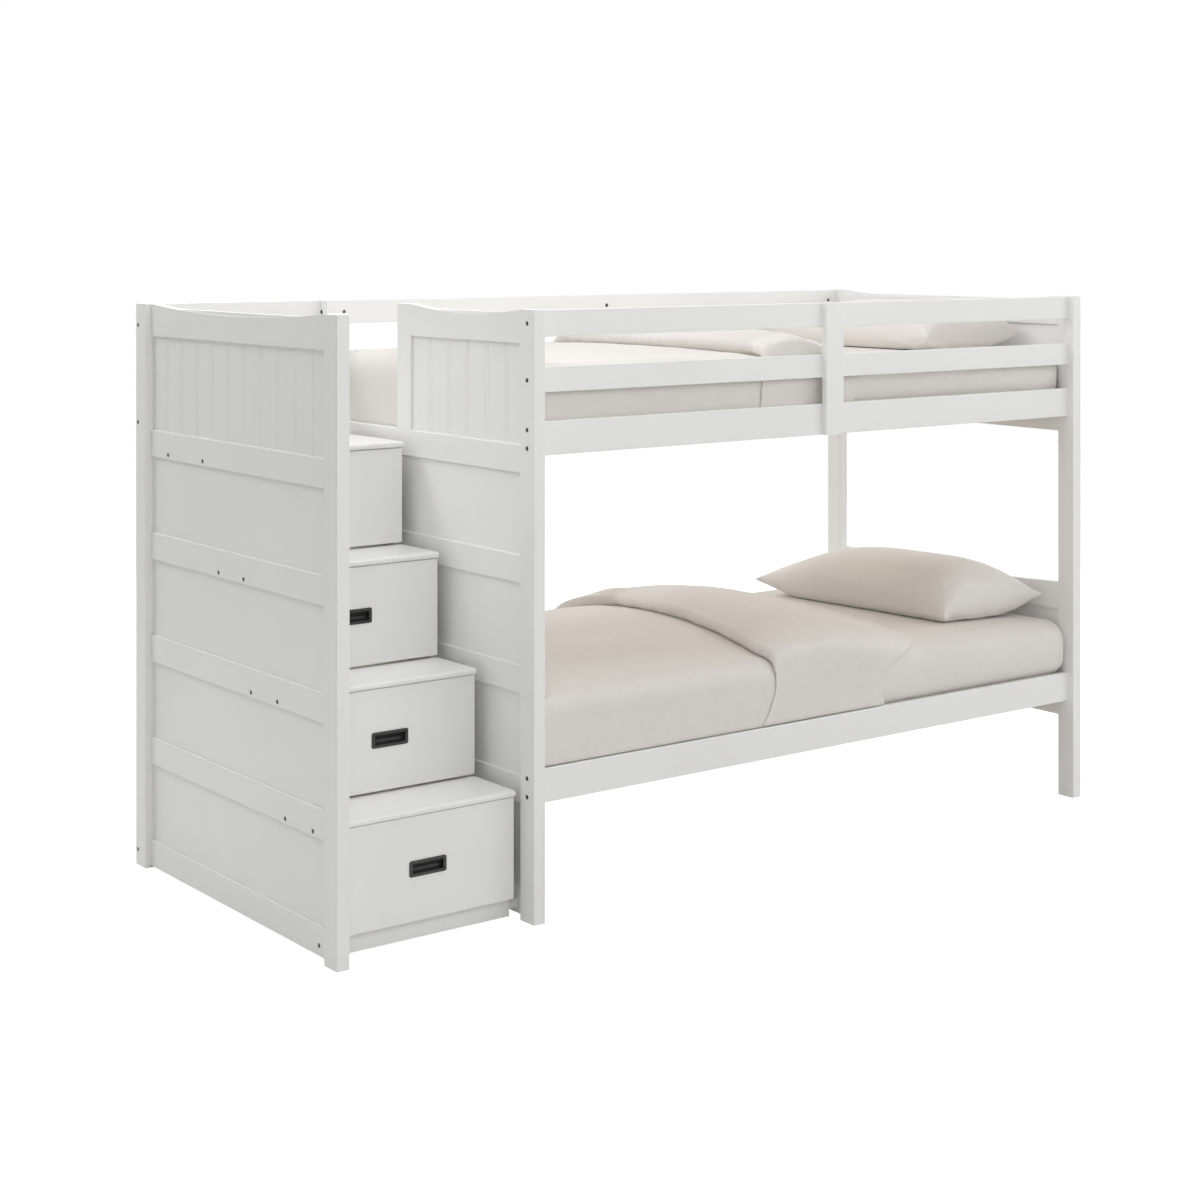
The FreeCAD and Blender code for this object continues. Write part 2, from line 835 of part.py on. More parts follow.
def rounded_loop(x, y, radius, z):
    """A level rectangle with round corners."""
    lines = []
    bend = radius * bow_share
    corners = ((x[0], y[0], 1, 1), (x[1], y[0], -1, 1), (x[1], y[1], -1, -1), (x[0], y[1], 1, -1))
    arcs = []
    for index, (cx, cy, dx, dy) in enumerate(corners):
        along_x = FreeCAD.Vector(cx + dx * radius, cy, z)
        along_y = FreeCAD.Vector(cx, cy + dy * radius, z)
        bow = FreeCAD.Vector(cx + dx * bend, cy + dy * bend, z)
        arcs.append((along_y, bow, along_x) if index % 2 == 0 else (along_x, bow, along_y))
    for index, arc in enumerate(arcs):
        following = arcs[(index + 1) % len(arcs)]
        lines.append(Part.Arc(*arc).toShape())
        lines.append(Part.LineSegment(arc[2], following[0]).toShape())
    return Part.Wire(lines)


def mattress(low, top, ledge, bulge, room=0):
    """A slab with soft edges whose long sides swell above the side rails' top."""
    edge = mattress_edge_share * mattress_round
    shape = [(low - room, mattress_round, 0), (low + mattress_round, 0, 0), (ledge, 0, 0),
             (ledge + bulge_rise, 0, bulge), (top - mattress_round, 0, bulge),
             (top - edge, edge, bulge), (top + room, mattress_round, bulge)]
    loops = []
    for z, inset, swell in shape:
        x = grown(mattress_x, room - inset)
        y = grown(mattress_y, room - inset + swell)
        loops.append(rounded_loop(x, y, mattress_corner, z))
    return Part.makeLoft(loops, True, True)


def duvet_section(x_front, x_back, y, hem, top):
    """An upright section across the bed, turned so that its back lies at another X."""
    slope = (x_back - x_front) / (y[1] - y[0])
    edge = top - duvet_crown
    bend = duvet_round * bow_share

    def point(py, pz):
        return FreeCAD.Vector(x_front + slope * (py - y[0]), py, pz)

    front = (point(y[0], hem), point(y[0], edge - duvet_round))
    front_bow = point(y[0] + bend, edge - bend)
    front_top = point(y[0] + duvet_round, edge)
    back_top = point(y[1] - duvet_round, edge)
    back_bow = point(y[1] - bend, edge - bend)
    back = (point(y[1], edge - duvet_round), point(y[1], hem))
    return Part.Wire([
        Part.LineSegment(*front).toShape(),
        Part.Arc(front[1], front_bow, front_top).toShape(),
        Part.Arc(front_top, point(middle(y), top), back_top).toShape(),
        Part.Arc(back_top, back_bow, back[0]).toShape(),
        Part.LineSegment(*back).toShape(),
        Part.LineSegment(back[1], front[0]).toShape(),
    ])


def duvet(low, top, ledge, bulge):
    """A quilt with its top end folded back on itself, hanging at the sides and over the foot."""
    y = grown(mattress_y, bulge + duvet_side)
    foot_x = (mattress_x[0] - duvet_foot, mattress_x[0])
    sections = []
    for front, back, layer in zip(duvet_front_shares, duvet_back_shares, duvet_layer_shares):
        x_front = foot_x[0] + front * mattress_length
        x_back = foot_x[0] + back * mattress_length
        crest = top + duvet_crown + layer * duvet_thick
        sections.append(duvet_section(x_front, x_back, y, ledge + hem_gap, crest))
    hanging = block(foot_x, mattress_y, (low - slat_thick + hem_gap, ledge + duvet_round))
    quilt = Part.makeLoft(sections, True, True).fuse(hanging)
    return one_solid(quilt.cut(mattress(low, top, ledge, bulge, soft_clear)))


def pillow(base, height):
    """A stuffed pillow: crowned, thin at its seams, with sides drawn in between the corners."""
    seam = base + pillow_seam_share * height
    x_center = x_head - pillow_head_gap - pillow_wide / 2
    y_start = bed_depth / 2 - pillow_length / 2
    sections = []
    for place, wide, thick in zip(pillow_place_shares, pillow_wide_shares, pillow_thick_shares):
        y = y_start + place * pillow_length
        half = wide * pillow_wide / 2
        left = FreeCAD.Vector(x_center - half, y, seam)
        right = FreeCAD.Vector(x_center + half, y, seam)
        crown = FreeCAD.Vector(x_center, y, seam + (1 - pillow_seam_share) * thick * height)
        belly = FreeCAD.Vector(x_center, y, seam - pillow_seam_share * thick * height)
        over = Part.Arc(left, crown, right).toShape()
        under = Part.Arc(right, belly, left).toShape()
        sections.append(Part.Wire([over, under]))
    return Part.makeLoft(sections, True, False)


def bedding():
    """Mattress, duvet and pillow of each bunk."""
    pieces = {}
    lower = ("lower", lower_bed_z, lower_mattress_thick, lower_rail_z, lower_bulge, lower_pillow_thick)
    upper = ("upper", upper_bed_z, upper_mattress_thick, upper_rail_z, 0, upper_pillow_thick)
    for name, low, thick, rail_z, bulge, pillow_height in (lower, upper):
        top = low + thick
        ledge = rail_z + side_rail_height
        pieces[name + "_mattress"] = [mattress(low, top, ledge, bulge)]
        pieces[name + "_duvet"] = [duvet(low, top, ledge, bulge)]
        pieces[name + "_pillow"] = [pillow(top + soft_clear, pillow_height)]
    return pieces


# Assembly

def build():
    """Every piece of the bed by its node name."""
    bolts, bolt_rooms = fasteners()
    stair_frame, stair_cuts = stair_end_frame()
    bed_frame, bed_cuts = bed_end_frame()
    head_frame, head_cuts = head_end_frame()
    wood = posts({"stair": stair_cuts, "bed": bed_cuts, "head": head_cuts})
    for group in (stair_frame, bed_frame, head_frame, long_rails(), slat_bases(), stairs()):
        wood.update(group)
    pieces = {}
    for name, solids in wood.items():
        pieces[name] = [carved(solid, bolt_rooms) for solid in solids]
    pieces.update(drawers())
    pieces.update(bedding())
    pieces["connector_bolts"] = bolts
    return pieces


def save(name, solids):
    shape = Part.makeCompound(solids) if len(solids) > 1 else solids[0].copy()
    shape.translate(FreeCAD.Vector(-bed_length / 2, -bed_depth / 2, 0))
    shape.exportStep(os.path.join("parts", name + ".step"))


os.makedirs("parts", exist_ok=True)
for node, node_solids in build().items():
    save(node, node_solids)
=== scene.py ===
import math
import bmesh
import bpy
import numpy as np
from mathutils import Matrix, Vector, noise


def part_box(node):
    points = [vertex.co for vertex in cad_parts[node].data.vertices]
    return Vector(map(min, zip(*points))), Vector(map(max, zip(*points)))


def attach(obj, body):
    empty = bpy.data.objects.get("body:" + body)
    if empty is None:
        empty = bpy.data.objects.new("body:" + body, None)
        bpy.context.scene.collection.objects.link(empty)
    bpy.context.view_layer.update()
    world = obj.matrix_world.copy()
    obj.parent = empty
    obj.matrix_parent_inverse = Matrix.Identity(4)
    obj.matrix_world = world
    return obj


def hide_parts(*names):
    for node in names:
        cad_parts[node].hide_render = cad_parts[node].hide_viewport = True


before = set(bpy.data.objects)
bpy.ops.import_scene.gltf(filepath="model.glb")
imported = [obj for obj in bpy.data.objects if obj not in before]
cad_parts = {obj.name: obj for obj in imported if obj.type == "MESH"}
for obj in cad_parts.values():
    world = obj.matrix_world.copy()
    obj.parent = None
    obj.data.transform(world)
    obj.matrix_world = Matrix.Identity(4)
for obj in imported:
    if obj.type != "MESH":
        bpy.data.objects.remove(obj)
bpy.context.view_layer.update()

# Twin bunk bed with a staircase of drawers, made up with plain bedding.
# Everything is in metres in the part's own frame: X from the stairs to the head end, Y to the back, Z up.
# A name that ends in RISE holds the start and the span of a smooth rise from 0 to 1.
# A name that ends in WAVES holds the waves a metre in one or more directions.

# Camera: level, with its horizon above the middle of a square picture
PICTURE_PX = 1200
FOCAL_PX = 2140.2
HORIZON_PX = 237.0
CAMERA_PLACE = (-3.7173, -4.7664, 1.6688)
CAMERA_TURN = -0.646
SENSOR_MM = 36.0

# Stage and light: each lamp's place, aim, side and power in watts
WHITE = (1, 1, 1, 1)
FLOOR_SIZE = 60.0
FLOOR_BOUNCE = 0.78
FLOOR_SHADE = 0.5
FLOOR_GLOW = 0.9
SKY_LIGHT = 0.23
SKY_SEEN = 1.0
LAMPS = {
    "front": ((1.0, -5.2, 3.6), (0.2, 0.0, 0.7), 3.5, 46.0),
    "front_right": ((4.2, -3.6, 3.0), (0.6, 0.0, 0.7), 3.5, 72.0),
    "camera_side": ((-3.0, -4.2, 2.6), (-0.5, 0.0, 0.6), 2.0, 34.0),
    "back": ((0.4, 4.2, 2.4), (0.4, 0.0, 0.6), 4.0, 122.0),
    "left_high": ((-2.9, 2.0, 4.1), (-1.27, 0.1, 0.7), 1.4, 58.0),
    "right": ((5.0, 0.2, 1.9), (0.6, 0.0, 0.7), 3.0, 70.0),
    "over_stairs": ((-1.0, -0.8, 4.2), (-1.0, -0.1, 0.6), 2.5, 48.0),
    "over_bunk": ((1.8, -0.6, 4.6), (0.6, 0.0, 0.6), 3.5, 6.0),
}

# Colours, linear
PAINT_LIGHT = (0.875, 0.875, 0.865)
PAINT_DARK = (0.845, 0.843, 0.832)
PINE_LIGHT = (0.74, 0.61, 0.45)
PINE_DARK = (0.61, 0.46, 0.30)
BIRCH_LIGHT = (0.72, 0.58, 0.41)
BIRCH_DARK = (0.62, 0.46, 0.29)
BLACK_LIGHT = (0.022, 0.021, 0.02)
BLACK_DARK = (0.011, 0.011, 0.011)
STEEL_LIGHT = (0.12, 0.12, 0.12)
STEEL_DARK = (0.05, 0.05, 0.05)
COTTON_LIGHT = (0.82, 0.788, 0.754)
COTTON_DARK = (0.785, 0.75, 0.713)
# Painted light: the pillows' cotton is lighter than the duvet's, standing in for light that the upper bunk
# keeps off the lower pillow
PILLOW_LIT_LIGHT = (0.885, 0.855, 0.823)
PILLOW_LIT_DARK = (0.85, 0.818, 0.784)
SHEEN_TINT = (1.0, 0.97, 0.94, 1)

# Fine structure of the surfaces: shares of the finer pattern, the weave, and the radians a metre that a wave
# texture turns through at scale 1
AXIS_NAMES = "xyz"
PEEL_SHARE = 0.35
PORE_SHARE = 0.25
SLUB_SHARE = 0.5
WEAVE_PITCH = 0.0016
WEAVE_UNEVENNESS = 0.6
WAVE_TEXTURE_RATE = 20.0

# Soft meshes, their cloth, and the seed of the waves on each bunk
WELD_DISTANCE = 0.0002
SMOOTHING_LEVELS = 1
CLOTH_QUALITY = 5
CLOTH_MASS = 0.25
SHEAR_SHARE = 1 / 3
SEEDS = {"lower": 3.1, "upper": 8.7}
MATTRESS_SEED_STEP = 50

# Mattresses: rounded edges, tight at the head end, and long sides that swell over the side rails
MATTRESS_EDGE = 0.055
MATTRESS_HEAD_EDGE = 0.008
MATTRESS_HEAD_REACH = 0.011
MATTRESS_CROWN = 0.006
MATTRESS_ROOM = 0.0125
MATTRESS_PITCH = 0.017
EDGE_STEPS = 5
OVER_RAIL_RISE = (0.002, 0.012)
TOP_FACE_RISE = (-0.03, 0.03)
SHEET_SWELL = {"lower": 0.011, "upper": 0.004}
SWELL_LENGTH_RISE = (0.6, 1 / 3)
BELLY_POWER = 0.7

# Fitted sheets: pulled in a little all over, with tugs at the corners
SHEET_PULL = 0.0015
SIDE_FACE_RISE = (0.9, 0.1)
CORNER_ACROSS_RISE = (0.72, 0.25)
CORNER_ALONG_RISE = (0.86, 0.13)
TUG_WAVES = (30.0, 30.0, 9.0)
TUG_DEPTH = 0.0012
SOFT_WAVES = (5.0, 6.0, 7.0)
SOFT_DEPTH = 0.0012

# Duvets: hem over the side rail's top edge, and thickness on top, down the sides and at the foot end
HEM_GAP = {"lower": 0.0025, "upper": -0.03}
HEM_ROLL = 0.010
HEM_ROLL_SHARE = 0.25
SHEET_GAP = 0.0015
BASE_TOP = 0.031
BASE_SIDE = 0.0075
FOOT_THICK = 0.0065
FOOT_INSET = 0.002
FLARE_DROP = 0.12
DUVET_REACH = {"lower": 0.511, "upper": 0.4898}
REACH_MARGIN = 0.012
EDGE_THINNING = 0.08
EDGE_THINNING_REACH = 0.2
UPWARD_RISE = (0.05, 0.9)
FALLING_RISE = (0.72, 0.22)

# Flaps: the thickness under them, and their height on top and at the sides from free edge to fold
UNDER_FLAP_SHARE = 0.7
SINKING_RISE = (0.9, 0.1)
FLAP_FULL = {"lower": 1.0, "upper": 1.12}
FLAP_TOP = ((0.0, 0.058), (0.1, 0.068), (0.28, 0.073), (0.5, 0.062), (0.7, 0.044), (0.88, 0.024),
            (1.0, 0.009))
FLAP_SIDE = ((0.0, 0.0165), (0.3, 0.0165), (0.7, 0.0105), (1.0, 0.0034))

# Places along each flap's free edge and fold: share of the way over the bed from the front hem to the
# back hem, then share of the mattress's length from the stairs
FREE_EDGE = {
    "lower": ((0.0, 0.374), (0.035, 0.388), (0.075, 0.397), (0.118, 0.395), (0.15, 0.395), (0.2, 0.405),
              (0.244, 0.414), (0.37, 0.443), (0.62, 0.479), (0.8, 0.485), (0.84, 0.478), (0.885, 0.402),
              (0.93, 0.39), (1.0, 0.385)),
    "upper": ((0.0, 0.378), (0.1, 0.385), (0.16, 0.402), (0.25, 0.392), (0.40, 0.378), (0.65, 0.39),
              (0.8, 0.40), (0.87, 0.392), (0.93, 0.376), (1.0, 0.37)),
}
FOLD = {
    "lower": ((0.0, 0.612), (0.05, 0.608), (0.085, 0.622), (0.108, 0.664), (0.132, 0.689), (0.178, 0.706),
              (0.29, 0.728), (0.548, 0.758), (0.78, 0.765), (1.0, 0.76)),
    "upper": ((0.0, 0.556), (0.1, 0.572), (0.18, 0.60), (0.35, 0.68), (0.6, 0.74), (0.88, 0.76), (1.0, 0.76)),
}

# Free edge of a flap: a seam drawn in round the roll, at an angle and with a width in radians
SEAM_PLACE = (-2.2, 0.2)
SEAM_DEPTH = 0.12
SEAM_PUCKER = 0.8
STITCH_PLACE = (-2.5, 0.6)
STITCH_DEPTH = 0.2
STITCH_WAVES = (90.0,)
PUCKER_WAVES = (55.0,)
PUCKER_DEPTH = 0.0035
EDGE_WAVES = (14.0,)
EDGE_DEPTH = 0.004

# Unevenness of the filling, along the bed and over it
WIDE_WAVES = (3.1, 3.7)
WIDE_DEPTH = 0.0045
FINE_WAVES = (26.0, 11.0)
FINE_DEPTH = 0.0011
SIDE_FINE_DEPTH = 0.0008
RIDGE_WAVES = (13.0, 2.4)
RIDGE_DEPTH = 0.0035
ON_FLAP_RISE = (0.0, 0.05)
FLAP_LIFT_RISE = (0.0, 0.01)
TUCK_WAVES = (17.0, 2.5)
TUCK_DEPTH = 0.0028
GATHER_WAVES = (34.0, 1.6)
GATHER_DEPTH = {"lower": 0.0007, "upper": 0.0016}
CREASE_WAVES = (4.0, 48.0)
CREASE_DEPTH = 0.0022
CREASE_START_RISE = (-0.2, 0.16)
CREASE_END_RISE = (-0.006, 0.03)
PLEAT_WAVES = (19.0, 2.0)
PLEAT_SLANT = 1.25
PLEAT_DEPTH = 0.0018
PLEAT_LIFT = 0.0006
PLEAT_DROP = 0.08
PUFF_LIMIT = 1.4
FOOT_PUFF = 0.5

# Points of a quilt's mesh: over the bunk's width, then round its section
QUILT_COLUMNS = 190
SIDE_POINTS = 40
SHOULDER_POINTS = 24
HALF_TOP_POINTS = 100
HANG_ROWS = 22
BEND_ROWS = 11
TOP_ROWS = 86
ROLL_ROWS = 17
FLAP_ROWS = 66
FOLD_ROWS = 8
UNDER_ROWS = 60
INNER_BEND_ROWS = 9
INNER_HANG_ROWS = 16
HELD_FROM_SHARE = 0.975
HELD_FROM_ANGLE = -2.4

# Pillows: the seam's share of the height, how full the middle and ends are, how far the edges are drawn in
# between the pointed corners, and how the front corner tucks in and the back sags
PILLOW_ROWS = 56
PILLOW_COLUMNS = 96
PILLOW_SEAM = 0.36
PILLOW_FULL = 0.42
PILLOW_TAPER = 0.62
PILLOW_FRONT_POWER = 4
PILLOW_BACK_POWER = 2.3
PILLOW_UNDERSIDE = 1.9
PILLOW_DRAWN_IN = 0.055
PILLOW_EAR = 0.035
EAR_POWER = 7
EAR_FLATNESS = 0.8
PILLOW_END_SHARE = 0.6
PILLOW_TUCK = {"lower": 1.0, "upper": 0.3}
PILLOW_DROOP = 0.8
TUCK_POWER = 1.6
TUCK_ALONG = 0.25
TUCK_ACROSS = 0.16
PILLOW_SAG = {"lower": 0.28, "upper": 0.1}
SAG_POWER = 0.8
PILLOW_TURN = {"lower": 0.05, "upper": 0.02}
PILLOW_TIP = {"lower": (0.004, -0.028), "upper": (0.0, 0.0)}
TIP_POWER = 9
PILLOW_INSET = {"lower": 0.0, "upper": 0.07}

# Rumples of a pillow: spokes that run out from the corners, soft waves, and gathers along the seam
SPOKE_CENTRE = 1.02
SPOKE_RATES = (5.0, 3.0, 3.0)
SPOKE_DEPTH = 0.01
CORNER_WIDTH = (0.5, 0.3)
BROAD_WAVES = (7.0, 6.0)
BROAD_DEPTH = 0.0028
SEAM_GATHER_WAVES = (45.0, 45.0)
SEAM_GATHER_DEPTH = 0.002
SEAM_GATHER_REACH = 0.07


# Camera, stage and light

def add_camera():
    data = bpy.data.cameras.new("camera")
    data.sensor_width = SENSOR_MM
    data.lens = FOCAL_PX / PICTURE_PX * SENSOR_MM
    data.shift_y = HORIZON_PX / PICTURE_PX - 0.5
    camera = bpy.data.objects.new("camera", data)
    camera.location = CAMERA_PLACE
    camera.rotation_euler = (math.pi / 2, 0, CAMERA_TURN)
    bpy.context.scene.collection.objects.link(camera)
    bpy.context.scene.camera = camera


def clear_tree(tree):
    for node in list(tree.nodes):
        tree.nodes.remove(node)


def seen_directly(tree):
    """1 for camera, glossy and transmission rays, which see the plain background."""
    rays = tree.nodes.new("ShaderNodeLightPath").outputs
    seen = rays["Is Camera Ray"]
    for name in ("Is Glossy Ray", "Is Transmission Ray"):
        either = tree.nodes.new("ShaderNodeMath")
        either.operation = "MAXIMUM"
        tree.links.new(seen, either.inputs[0])
        tree.links.new(rays[name], either.inputs[1])
        seen = either.outputs[0]
    return seen


def split_by_ray(tree, lighting, shown, output):
    """Light the scene with one shader, and show another to the camera and in reflections."""
    mix = tree.nodes.new("ShaderNodeMixShader")
    out = tree.nodes.new(output)
    tree.links.new(seen_directly(tree), mix.inputs["Fac"])
    tree.links.new(lighting, mix.inputs[1])
    tree.links.new(shown, mix.inputs[2])
    tree.links.new(mix.outputs[0], out.inputs["Surface"])


def white_background(tree, strength):
    node = tree.nodes.new("ShaderNodeBackground")
    node.inputs["Color"].default_value = WHITE
    node.inputs["Strength"].default_value = strength
    return node.outputs[0]


def add_world():
    world = bpy.data.worlds.new("studio")
    world.use_nodes = True
    tree = world.node_tree
    clear_tree(tree)
    lighting = white_background(tree, SKY_LIGHT)
    shown = white_background(tree, SKY_SEEN)
    split_by_ray(tree, lighting, shown, "ShaderNodeOutputWorld")
    bpy.context.scene.world = world


def grey_diffuse(tree, grey):
    node = tree.nodes.new("ShaderNodeBsdfDiffuse")
    node.inputs["Color"].default_value = (grey, grey, grey, 1)
    return node.outputs[0]


def add_floor():
    """A floor that glows nearly to white where it is seen, so that only the bed's shadow shows on it."""
    half = FLOOR_SIZE / 2
    mesh = bpy.data.meshes.new("floor")
    corners = [(-half, -half, 0), (half, -half, 0), (half, half, 0), (-half, half, 0)]
    mesh.from_pydata(corners, [], [(0, 1, 2, 3)])
    floor = bpy.data.objects.new("floor", mesh)
    bpy.context.scene.collection.objects.link(floor)
    material = bpy.data.materials.new("pale_floor")
    material.use_nodes = True
    tree = material.node_tree
    clear_tree(tree)
    glow = tree.nodes.new("ShaderNodeEmission")
    glow.inputs["Strength"].default_value = FLOOR_GLOW
    shown = tree.nodes.new("ShaderNodeAddShader")
    tree.links.new(grey_diffuse(tree, FLOOR_SHADE), shown.inputs[0])
    tree.links.new(glow.outputs[0], shown.inputs[1])
    split_by_ray(tree, grey_diffuse(tree, FLOOR_BOUNCE), shown.outputs[0], "ShaderNodeOutputMaterial")
    mesh.materials.append(material)


def add_lamps():
    for name, (place, aim, side, power) in LAMPS.items():
        data = bpy.data.lights.new(name, "AREA")
        data.shape = "SQUARE"
        data.size = side
        data.energy = power
        lamp = bpy.data.objects.new(name, data)
        lamp.location = place
        way = Vector(aim) - Vector(place)
        lamp.rotation_euler = way.to_track_quat("-Z", "Y").to_euler()
        bpy.context.scene.collection.objects.link(lamp)


# Materials

class Surface:
    """A procedural material on one principled shader, in the part's own coordinates."""

    def __init__(self, name, roughness, metallic=0.0, specular=0.5):
        self.material = bpy.data.materials.new(name)
        self.material.use_nodes = True
        self.tree = self.material.node_tree
        self.shader = self.tree.nodes["Principled BSDF"]
        self.shader.inputs["Roughness"].default_value = roughness
        self.shader.inputs["Metallic"].default_value = metallic
        self.shader.inputs["Specular IOR Level"].default_value = specular
        self.place = self.tree.nodes.new("ShaderNodeTexCoord").outputs["Object"]

    def noise(self, scale, detail=3.0, stretch=(1, 1, 1), distortion=0.0):
        """Noise with that many bumps a metre along each axis."""
        mapping = self.tree.nodes.new("ShaderNodeMapping")
        mapping.inputs["Scale"].default_value = tuple(scale * part for part in stretch)
        texture = self.tree.nodes.new("ShaderNodeTexNoise")
        texture.inputs["Scale"].default_value = 1.0
        texture.inputs["Detail"].default_value = detail
        texture.inputs["Distortion"].default_value = distortion
        self.tree.links.new(self.place, mapping.inputs["Vector"])
        self.tree.links.new(mapping.outputs["Vector"], texture.inputs["Vector"])
        return texture.outputs["Fac"]

    def waves(self, pitch, axis):
        """Ribs across one axis at a pitch."""
        texture = self.tree.nodes.new("ShaderNodeTexWave")
        texture.wave_type = "BANDS"
        texture.bands_direction = axis
        texture.inputs["Scale"].default_value = 2 * math.pi / (WAVE_TEXTURE_RATE * pitch)
        texture.inputs["Distortion"].default_value = WEAVE_UNEVENNESS
        texture.inputs["Detail"].default_value = 1.0
        self.tree.links.new(self.place, texture.inputs["Vector"])
        return texture.outputs["Fac"]

    def combine(self, operation, first, second):
        node = self.tree.nodes.new("ShaderNodeMath")
        node.operation = operation
        for socket, value in zip(node.inputs, (first, second)):
            if isinstance(value, float):
                socket.default_value = value
            else:
                self.tree.links.new(value, socket)
        return node.outputs[0]

    def colour(self, value, dark, light, low=0.3, high=0.7):
        """Base colour from dark to light as a value goes from low to high."""
        node = self.tree.nodes.new("ShaderNodeValToRGB")
        node.color_ramp.elements[0].position = low
        node.color_ramp.elements[0].color = (*dark, 1)
        node.color_ramp.elements[1].position = high
        node.color_ramp.elements[1].color = (*light, 1)
        self.tree.links.new(value, node.inputs["Fac"])
        self.tree.links.new(node.outputs["Color"], self.shader.inputs["Base Color"])

    def roughness(self, value, smooth, rough):
        node = self.tree.nodes.new("ShaderNodeMapRange")
        node.inputs["To Min"].default_value = smooth
        node.inputs["To Max"].default_value = rough
        self.tree.links.new(value, node.inputs["Value"])
        self.tree.links.new(node.outputs["Result"], self.shader.inputs["Roughness"])

    def bump(self, value, height):
        node = self.tree.nodes.new("ShaderNodeBump")
        node.inputs["Strength"].default_value = 1.0
        node.inputs["Distance"].default_value = height
        self.tree.links.new(value, node.inputs["Height"])
        self.tree.links.new(node.outputs["Normal"], self.shader.inputs["Normal"])


def along_grain(axis, across):
    """Stretch of a texture that runs along one axis."""
    return tuple(1.0 if index == axis else across for index in range(3))


def painted_wood(axis):
    """Satin white paint over boards whose grain runs along an axis."""
    paint = Surface("white_paint_" + AXIS_NAMES[axis], roughness=0.36, specular=0.45)
    cloud = paint.noise(scale=2.2, detail=2.0)
    grain = paint.noise(scale=5.0, detail=4.0, stretch=along_grain(axis, across=26.0), distortion=0.4)
    paint.colour(cloud, PAINT_DARK, PAINT_LIGHT)
    paint.roughness(paint.noise(scale=14.0), smooth=0.30, rough=0.44)
    orange_peel = paint.noise(scale=420.0, detail=1.0)
    relief = paint.combine("ADD", grain, paint.combine("MULTIPLY", orange_peel, PEEL_SHARE))
    paint.bump(relief, height=0.00022)
    return paint.material


def bare_wood(name, axis, dark, light, roughness):
    """Planed wood with streaks along an axis and darker late wood."""
    wood = Surface(name + "_" + AXIS_NAMES[axis], roughness=roughness, specular=0.35)
    streak = wood.noise(scale=3.0, detail=5.0, stretch=along_grain(axis, across=22.0), distortion=0.8)
    pores = wood.noise(scale=12.0, stretch=along_grain(axis, across=60.0))
    mixed = wood.combine("ADD", streak, wood.combine("MULTIPLY", pores, PORE_SHARE))
    wood.colour(mixed, dark, light, low=0.42, high=0.78)
    wood.roughness(pores, smooth=roughness - 0.08, rough=roughness + 0.1)
    wood.bump(mixed, height=0.0003)
    return wood.material


def black_metal():
    """Matte black coating with a fine grain."""
    metal = Surface("black_metal", roughness=0.42)
    metal.colour(metal.noise(scale=60.0), BLACK_DARK, BLACK_LIGHT)
    metal.roughness(metal.noise(scale=90.0), smooth=0.34, rough=0.52)
    metal.bump(metal.noise(scale=1500.0, detail=2.0), height=0.00006)
    return metal.material


def dark_steel():
    """Dark oxide steel of the bolts."""
    steel = Surface("dark_steel", roughness=0.4, metallic=0.85)
    steel.colour(steel.noise(scale=180.0), STEEL_DARK, STEEL_LIGHT)
    steel.roughness(steel.noise(scale=260.0), smooth=0.32, rough=0.55)
    steel.bump(steel.noise(scale=900.0), height=0.00005)
    return steel.material


def cotton(name, dark, light):
    """Plain woven cotton with a soft nap."""
    cloth = Surface(name, roughness=0.88, specular=0.2)
    cloth.shader.inputs["Sheen Weight"].default_value = 0.25
    cloth.shader.inputs["Sheen Roughness"].default_value = 0.5
    cloth.shader.inputs["Sheen Tint"].default_value = SHEEN_TINT
    slub = cloth.noise(scale=38.0, detail=4.0, stretch=(1.0, 5.0, 1.0))
    cloud = cloth.noise(scale=3.0, detail=2.0)
    tone = cloth.combine("ADD", cloth.combine("MULTIPLY", slub, SLUB_SHARE),
                         cloth.combine("MULTIPLY", cloud, 1 - SLUB_SHARE))
    cloth.colour(tone, dark, light, low=0.35, high=0.65)
    weft = cloth.waves(WEAVE_PITCH, "X")
    warp = cloth.combine("ADD", cloth.waves(WEAVE_PITCH, "Y"), cloth.waves(WEAVE_PITCH, "Z"))
    weave = cloth.combine("ADD", weft, warp)
    cloth.bump(cloth.combine("ADD", weave, slub), height=0.00012)
    return cloth.material


def repaint(node, material):
    """Give a CAD piece a finish in all its slots."""
    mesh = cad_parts[node].data
    if not mesh.materials:
        mesh.materials.append(material)
    for index in range(len(mesh.materials)):
        mesh.materials[index] = material


def longest_axis(node):
    low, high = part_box(node)
    size = high - low
    return max(range(3), key=lambda axis: size[axis])


def finish_wood_and_metal():
    """Finish every CAD piece, with the grain along its boards."""
    paints = [painted_wood(axis) for axis in range(3)]
    pines = [bare_wood("pine", axis, PINE_DARK, PINE_LIGHT, roughness=0.6) for axis in range(3)]
    birch = bare_wood("birch", 1, BIRCH_DARK, BIRCH_LIGHT, roughness=0.5)
    black = black_metal()
    steel = dark_steel()
    runs_across = ("rails", "panels")
    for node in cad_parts:
        if node.endswith("_pull"):
            repaint(node, black)
        elif node == "connector_bolts":
            repaint(node, steel)
        elif node.endswith("_box"):
            repaint(node, birch)
        elif node in ("drawer_runners", "stair_cleats") or node.endswith("slats"):
            repaint(node, pines[1])
        elif node == "slat_cleats":
            repaint(node, pines[0])
        elif node.startswith(("stair_end", "bed_left")) and node.endswith(runs_across):
            repaint(node, paints[1])
        elif node.endswith("beadboard") or node.startswith("stair_side") or node == "guard_uprights":
            repaint(node, paints[2])
        elif node in ("stair_treads", "stair_back_rails"):
            repaint(node, paints[0])
        else:
            repaint(node, paints[longest_axis(node)])


# Curves and waves

